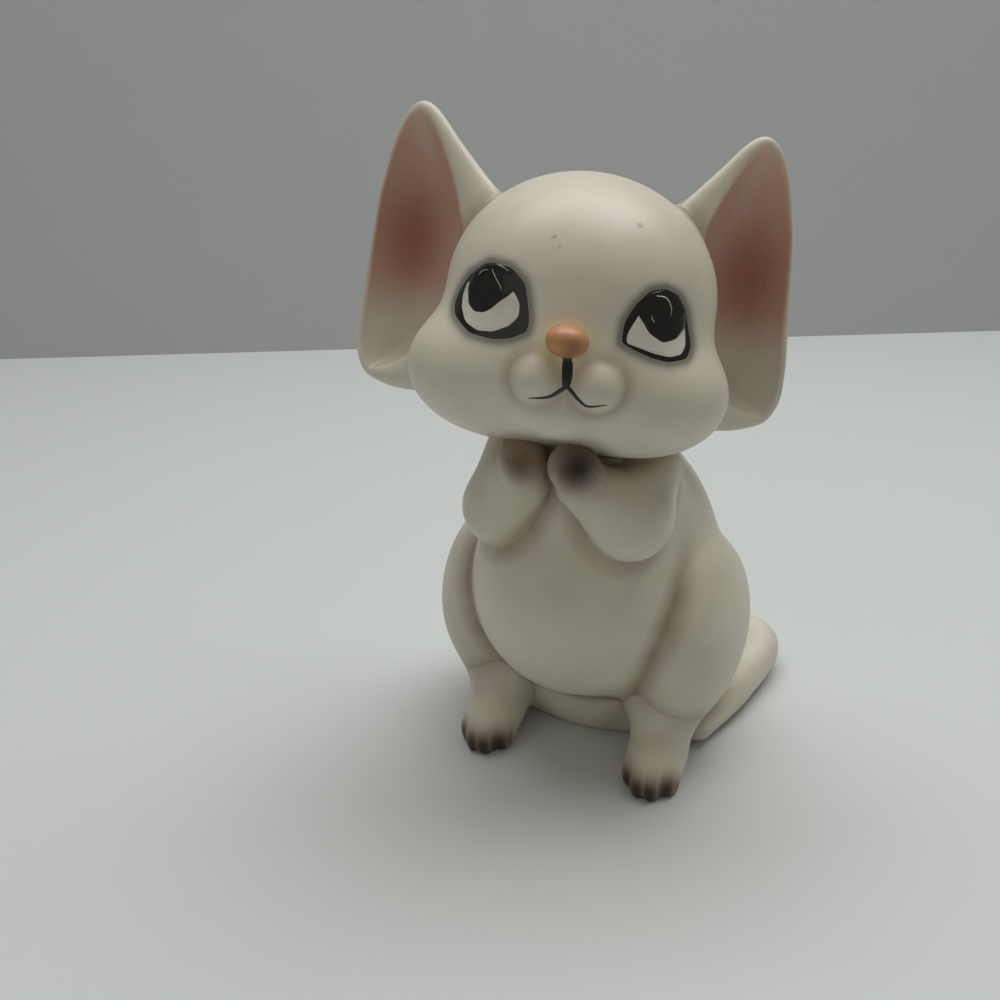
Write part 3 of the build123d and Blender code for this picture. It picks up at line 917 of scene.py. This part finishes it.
def tube_rays(line, radii, rows, columns):
    """Starts and directions for a tube: square rings along its line, and a fan at each end."""
    along = np.concatenate([[0], np.cumsum(np.linalg.norm(np.diff(line, axis=0), axis=1))])
    total = along[-1] + radii[0] + radii[-1]
    travel = np.linspace(0, total, rows + 2)[1:-1] - radii[0]
    inside = np.clip(travel, 0, along[-1])
    starts = np.stack([np.interp(inside, along, line[:, axis]) for axis in range(3)], axis=1)
    paths = np.gradient(line, along, axis=0)
    paths = np.stack([np.interp(inside, along, paths[:, axis]) for axis in range(3)], axis=1)
    paths /= np.linalg.norm(paths, axis=1)[:, None]
    level = np.cross(paths, [0, 0, 1])
    level /= np.linalg.norm(level, axis=1)[:, None]
    upward = np.cross(level, paths)
    over = np.where(travel < 0, travel / radii[0], np.clip((travel - along[-1]) / radii[-1], 0, 1))
    tilt = (over * pi / 2)[:, None, None]
    turns = np.linspace(0, 2 * pi, columns, endpoint=False)[None, :, None]
    square = np.cos(turns) * level[:, None] + np.sin(turns) * upward[:, None]
    rays = (np.cos(tilt) * square + np.sin(tilt) * paths[:, None]).reshape(-1, 3)
    starts = np.repeat(starts, columns, axis=0)
    starts = np.vstack([line[:1], starts, line[-1:]])
    return starts, np.vstack([-paths[:1], rays, paths[-1:]])


tail_starts, tail_rays = tube_rays(tail_line, tail_radii, *TAIL_GRID)
castings["tail"] = dict(
    skin="glazed_tail", form=tail_form, columns=TAIL_GRID[1],
    find=partial(cast_rays, origins=tail_starts, rays=tail_rays, reach=TAIL_REACH),
    masks=tail_masks, pool_shade=TAIL_JOINT_POOL_SHADE, glaze=plain_glaze, slot="porcelain",
)

# Nose: a small bead of clay pressed on the top of the muzzle, in a dab of orange glaze. The
# orange covers it all over, with painted shade low on its right. No glaze pools on it, and no
# shade is painted at its joint.
NOSE_REACH = 6.0
NOSE_GRID = (90, 140)
NOSE_ORANGE = 0.95
NOSE_SHADE = 0.75
NOSE_SHADE_PLACE = (0.7, -1.4, -0.6)
NOSE_SHADE_RADIUS = 1.0
orange_glaze = porcelain("orange_glaze", [
    ("spray", colour(196, 138, 88), 0.2), ("deep", colour(112, 66, 40), 0.4),
])


def nose_form(points):
    """Distance to the nose bead."""
    return egg(to_head(points), **NOSE)


def nose_masks(points):
    """Orange all over, and a soft spot of painted shade."""
    own = to_head(points) - NOSE["centre"]
    away = np.linalg.norm(own - NOSE_SHADE_PLACE, axis=1)
    shade = NOSE_SHADE * np.exp(-((away / NOSE_SHADE_RADIUS) ** 2))
    return {"spray": np.full(len(points), NOSE_ORANGE), "deep": shade}


nose_core = from_head(np.array(NOSE["centre"]))
castings["nose"] = dict(
    skin="orange_nose", form=nose_form, columns=NOSE_GRID[1],
    find=partial(cast_rays, origins=nose_core, rays=ball_rays(*NOSE_GRID, "Z"), reach=NOSE_REACH),
    masks=nose_masks, pool_shade=0.0, glaze=orange_glaze, slot="orange_enamel",
)

# Luting and firing: the pieces are joined with slip, whose fillets run round every joint, and
# fired in one warm white glaze. Each casting is drawn with its share of the fillets, so two of
# them meet in one line on one surface, and beyond that line each dives under the other.
FILLETS = {
    ("body_casting", "head_casting"): 2.0, ("body_casting", "tail"): 1.6,
    ("body_casting", "foot_right"): 5.5, ("body_casting", "foot_left"): 5.5,
    ("body_casting", "arm_right"): 1.4, ("body_casting", "arm_left"): 1.4,
    ("head_casting", "ear_right"): 2.6, ("head_casting", "ear_left"): 2.6,
    ("head_casting", "arm_right"): 0.9, ("head_casting", "arm_left"): 0.9,
    ("arm_right", "arm_left"): 0.9, ("foot_right", "tail"): 1.2, ("head_casting", "nose"): 0.7,
}
POOL_SHADE_REACH = 2.4


def luted_to(node):
    """What is luted to a casting: each other node, with the width of the fillet."""
    return [
        (first if second == node else second, width)
        for (first, second), width in FILLETS.items() if node in (first, second)
    ]


def luted(points, node):
    """Distance to a casting less its fillets, cut at the table."""
    own = castings[node]["form"](points)
    total = own
    for other, width in luted_to(node):
        total = total - fillet(own, castings[other]["form"](points), width)
    return np.maximum(total, -points[..., 2])


def joint_depth(points, node):
    """How near a point lies to another casting: 1 on it, falling to 0 over the reach of the pooled
    glaze and painted shade.
    """
    others = [other for other, _ in luted_to(node) if other != "nose"]
    gaps = [castings[other]["form"](points) for other in others]
    return np.clip(1 - np.min(gaps, axis=0) / POOL_SHADE_REACH, 0, 1)


def place_piece(piece, material, slot, *nodes):
    """Give a piece its finish, and let it ride with the body in place of its CAD nodes."""
    piece.data.materials.append(material)
    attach(piece, "root")
    if nodes:
        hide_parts(*nodes)


for node, casting in castings.items():
    skin_points = casting["find"](partial(luted, node=node))
    clear = np.zeros(len(skin_points))
    masks = {"crease": clear, "speck": clear, **casting["masks"](skin_points)}
    # Near each joint the skin is darkened as pooled glaze and painted shade.
    pooled_shade = casting["pool_shade"] * joint_depth(skin_points, node)
    masks["crease"] = np.maximum(masks["crease"], pooled_shade)
    skin = make_skin(casting["skin"], skin_points, casting["columns"], masks)
    place_piece(skin, casting["glaze"], casting["slot"], node)

# Eyes: raised enamel laid on in turn with a brush: black for the whole eye, a white sickle on it,
# then the black pupil, and strokes of white as painted highlights on the pupils. Each dab is
# closed, and its edge sinks into the glaze. Outlines are in the head's frame, with each stroke's
# half width last.
EYE_WHITE = {
    1: [(6.1, 2.2), (5.6, 1.0), (5.3, 0.0), (5.4, -0.8), (6.5, -1.1), (8.3, -1.6), (10.0, -1.8),
        (11.3, -1.4), (11.6, -0.4), (11.3, 0.9), (10.8, 2.4), (9.6, 3.4), (7.7, 3.4)],
    -1: [(-11.0, 3.0), (-11.5, 1.5), (-11.4, 0.1), (-10.6, -1.2), (-9.1, -1.9), (-7.2, -1.8),
         (-5.4, -0.9), (-4.5, 0.2), (-4.6, 1.6), (-5.5, 2.9), (-8.0, 3.8)],
}
EYE_PUPIL = {
    1: [(6.2, 1.8), (7.4, 0.2), (9.1, -0.7), (10.5, -0.1), (11.1, 1.2), (10.9, 2.8), (9.8, 4.4),
        (8.4, 4.8), (7.0, 4.2), (6.1, 3.0)],
    -1: [(-10.9, 2.3), (-10.6, 0.5), (-9.7, -0.3), (-8.5, -0.2), (-7.6, 0.4), (-6.9, 1.2),
         (-5.9, 2.0), (-5.4, 2.9), (-6.0, 4.3), (-7.6, 5.0), (-9.1, 4.9), (-10.4, 3.9)],
}
# White strokes for painted highlights on each pupil.
SHINE = {
    1: [(7.6, 4.0, 0.06), (8.6, 3.9, 0.16), (9.2, 3.1, 0.12), (9.3, 2.3, 0.04)],
    -1: [(-8.2, 4.3, 0.05), (-7.7, 3.6, 0.11), (-7.1, 2.9, 0.11), (-6.9, 2.4, 0.04)],
}
GLINT = {
    1: [(7.5, 2.2, 0.04), (7.6, 1.8, 0.12), (7.9, 1.5, 0.04)],
    -1: [(-9.6, 3.6, 0.04), (-9.1, 4.1, 0.09), (-8.6, 4.2, 0.04)],
}
PAINT_HEIGHT = {"black": 0.07, "white": 0.13, "pupil": 0.22, "shine": 0.27}
PATCH_GRID = (48, 200)
PATCH_CROWN = 8
UNDERSIDE = np.array([0.8, 0.6, 0.4, 0.2])
STROKE_GRID = (80, 24)
STROKE_ENDS = 30
SINK = 0.03
FACE_REACH = 22.0
BRUSH = (900, 3)
BRUSH_THINNING = (0.6, -0.2)
ENAMEL_ROUGHNESS = (0.15, 0.12)
ENAMEL_BUMP = 0.1
ENAMEL_COAT = (0.15, 0.08)
face_form = partial(luted, node="head_casting")


def on_face(flat, height):
    """Points at a height over the face, found along the head's own depth from a flat drawing."""
    drawn = np.column_stack([flat[:, 0], 0 * flat[:, 0], flat[:, 1]])
    rays = np.tile([0.0, -1.0, 0.0], (len(drawn), 1)) @ head_turn.T
    points = cast_rays(face_form, from_head(drawn), rays, FACE_REACH)
    slope = slope_of(face_form, points)
    return points + slope / np.linalg.norm(slope, axis=1)[:, None] * height[:, None]


def make_patch(name, knots, height):
    """A dab of enamel inside an outline: h - (h + sink) s^8 high, and closed under the glaze."""
    rows, columns = PATCH_GRID
    outline = closed_curve(knots, columns, EYE_KEEP)
    middle = outline.mean(axis=0)
    over = np.linspace(0, 1, rows)[1:]
    share = np.concatenate([over, UNDERSIDE])
    rise = np.concatenate([height - (height + SINK) * over**PATCH_CROWN, 0 * UNDERSIDE - 2 * SINK])
    flat = middle + share[:, None, None] * (outline - middle)
    flat = np.vstack([middle, flat.reshape(-1, 2), middle])
    rise = np.concatenate([[height], np.repeat(rise, columns), [-2 * SINK]])
    return make_skin(name, on_face(flat, rise), columns, {})


def make_stroke(name, knots, height):
    """One brush stroke: a flat tube, w to each side of a spline and h sin^2 of its turn high."""
    rows, columns = STROKE_GRID
    line = open_curve(knots, rows + 2)
    path = np.gradient(line[:, :2], axis=0)
    path = (path / np.linalg.norm(path, axis=1)[:, None])[1:-1, None, :]
    turn = np.linspace(0, 2 * pi, columns, endpoint=False)[None, :]
    ends = np.sqrt(1 - np.linspace(-1, 1, rows + 2)[1:-1] ** STROKE_ENDS)
    reach = np.cos(turn) * (line[1:-1, 2] * ends)[:, None]
    across = line[1:-1, :1] - path[..., 1] * reach
    up = line[1:-1, 1:2] + path[..., 0] * reach
    rise = np.where(turn < pi, height, -SINK) * np.sin(turn) ** 2 - SINK + 0 * reach
    flat = np.vstack([line[:1, :2], np.stack([across, up], axis=-1).reshape(-1, 2), line[-1:, :2]])
    rise = np.concatenate([[-SINK], rise.ravel(), [-SINK]])
    return make_skin(name, on_face(flat, rise), columns, {})


def make_enamel_group():
    """Enamel: the paint mixed to its thin colour, rougher and higher, by the brush's noise."""
    group, given, shown = new_group(
        "brushed_enamel",
        {"Place": "Vector", "Enamel": "Color", "Thin": "Color"},
        {"Colour": "Color", "Roughness": "Float", "Height": "Float"},
    )
    brush = add_noise(group, given.outputs["Place"], *BRUSH)
    thin = add_math(group, "MULTIPLY_ADD", brush, *BRUSH_THINNING)
    thin = add_math(group, "MAXIMUM", thin, 0.0)
    brushed = add_mix(group, thin, given.outputs["Enamel"], given.outputs["Thin"])
    rough = add_math(group, "MULTIPLY_ADD", brush, *ENAMEL_ROUGHNESS)
    group.links.new(brushed, shown.inputs["Colour"])
    group.links.new(rough, shown.inputs["Roughness"])
    group.links.new(brush, shown.inputs["Height"])
    return group


enamel_group = make_enamel_group()


def enamel(name, paint, thin_paint):
    """Glossy brushed enamel of one colour, showing a second where it is thin."""
    return coated(name, enamel_group, ENAMEL_BUMP, ENAMEL_COAT, Enamel=paint, Thin=thin_paint)[0]


black_paint = enamel("black_brushwork", colour(8, 7, 7), colour(24, 22, 21))
white_paint = enamel("white_brushwork", colour(218, 214, 202), colour(186, 178, 160))

for word, side in SIDES.items():
    rim = make_patch(f"eye_rim_{word}", EYE_OUTLINE[side], PAINT_HEIGHT["black"])
    place_piece(rim, black_paint, "black_enamel")
    white = make_patch(f"eye_white_{word}", EYE_WHITE[side], PAINT_HEIGHT["white"])
    place_piece(white, white_paint, "white_enamel", f"eye_{word}")
    pupil = make_patch(f"eye_pupil_{word}", EYE_PUPIL[side], PAINT_HEIGHT["pupil"])
    place_piece(pupil, black_paint, "black_enamel", f"pupil_{word}")
    for shape, knots in (("shine", SHINE[side]), ("glint", GLINT[side])):
        stroke = make_stroke(f"eye_{shape}_{word}", knots, PAINT_HEIGHT["shine"])
        place_piece(stroke, white_paint, "white_enamel")

# Mouth: one brush stroke down the middle and a curl to each side, in the same black enamel. Each
# is a flat tube of paint on the glaze, drawn in the head's frame.
MOUTH = {
    "middle": [(0.35, -2.6, 0.5), (0.5, -3.5, 0.66), (0.62, -4.6, 0.62), (0.66, -5.8, 0.36)],
    "left": [(0.66, -5.5, 0.24), (0.1, -6.0, 0.26), (-0.9, -6.7, 0.2), (-2.8, -7.1, 0.05)],
    "right": [(0.66, -5.4, 0.24), (1.2, -5.8, 0.26), (2.0, -6.5, 0.22), (3.0, -7.0, 0.16),
              (4.8, -6.6, 0.05)],
}
MOUTH_HEIGHT = 0.08
for word, knots in MOUTH.items():
    stroke = make_stroke(f"mouth_{word}", knots, MOUTH_HEIGHT)
    place_piece(stroke, black_paint, "black_enamel")

# Table and wall: the figurine stands on a pale table top that ends at a plain grey wall. They
# follow the camera's heading, with the wall turned a little, and are not part of the object.
TABLE_NEAR = 400.0
TABLE_HALF_WIDTH = 900.0
TABLE_COLOUR = colour(212, 216, 215)
WALL_DISTANCE = 285.0
WALL_HEIGHT = 700.0
WALL_TURN = 2.2
WALL_COLOUR = colour(188, 191, 192)
STAGE_ROUGHNESS = 0.6
heading = radians(CAMERA_HEADING)
ahead = np.array([-sin(heading), cos(heading), 0])
across = np.array([cos(heading), sin(heading), 0]) * TABLE_HALF_WIDTH
along_wall = turned("Z", WALL_TURN) @ across
upward = np.array([0, 0, WALL_HEIGHT])
near = camera_foot - ahead * TABLE_NEAR
far_left = camera_foot + ahead * WALL_DISTANCE - along_wall
far_right = camera_foot + ahead * WALL_DISTANCE + along_wall
stage = {
    "table_top": ([near - across, near + across, far_right, far_left], TABLE_COLOUR),
    "wall": ([far_left, far_right, far_right + upward, far_left + upward], WALL_COLOUR),
}
for name, (corners, tone) in stage.items():
    surface = make_mesh(name, np.array(corners), [[0, 1, 2, 3]], {})
    finish = bpy.data.materials.new(name + "_paint")
    finish.use_nodes = True
    shader = finish.node_tree.nodes["Principled BSDF"]
    shader.inputs["Base Color"].default_value = tone
    shader.inputs["Roughness"].default_value = STAGE_ROUGHNESS
    surface.data.materials.append(finish)

# Light: a wide soft lamp above and behind, a faint one from the front, and a pale warm room.
# Powers are in watts.
LAMPS = {
    "overhead": dict(place=(-40, 170, 340), size=460, power=2.6),
    "front": dict(place=(-120, -320, 240), size=300, power=0.08),
}
LAMP_AIM = (0, 0, 35)
ROOM_COLOUR = (1, 0.95, 0.86, 1)
ROOM_LEVEL = 0.22
for name, lamp in LAMPS.items():
    light = bpy.data.lights.new(name, "AREA")
    light.size = lamp["size"] * MM
    light.energy = lamp["power"]
    holder = bpy.data.objects.new(name, light)
    holder.location = Vector(lamp["place"]) * MM
    aim = Vector(LAMP_AIM) * MM - holder.location
    holder.rotation_euler = aim.to_track_quat("-Z", "Y").to_euler()
    bpy.context.scene.collection.objects.link(holder)
room = bpy.data.worlds.new("room")
bpy.context.scene.world = room
room.use_nodes = True
room.node_tree.nodes["Background"].inputs["Color"].default_value = ROOM_COLOUR
room.node_tree.nodes["Background"].inputs["Strength"].default_value = ROOM_LEVEL
bpy.context.scene.view_settings.view_transform = "Standard"
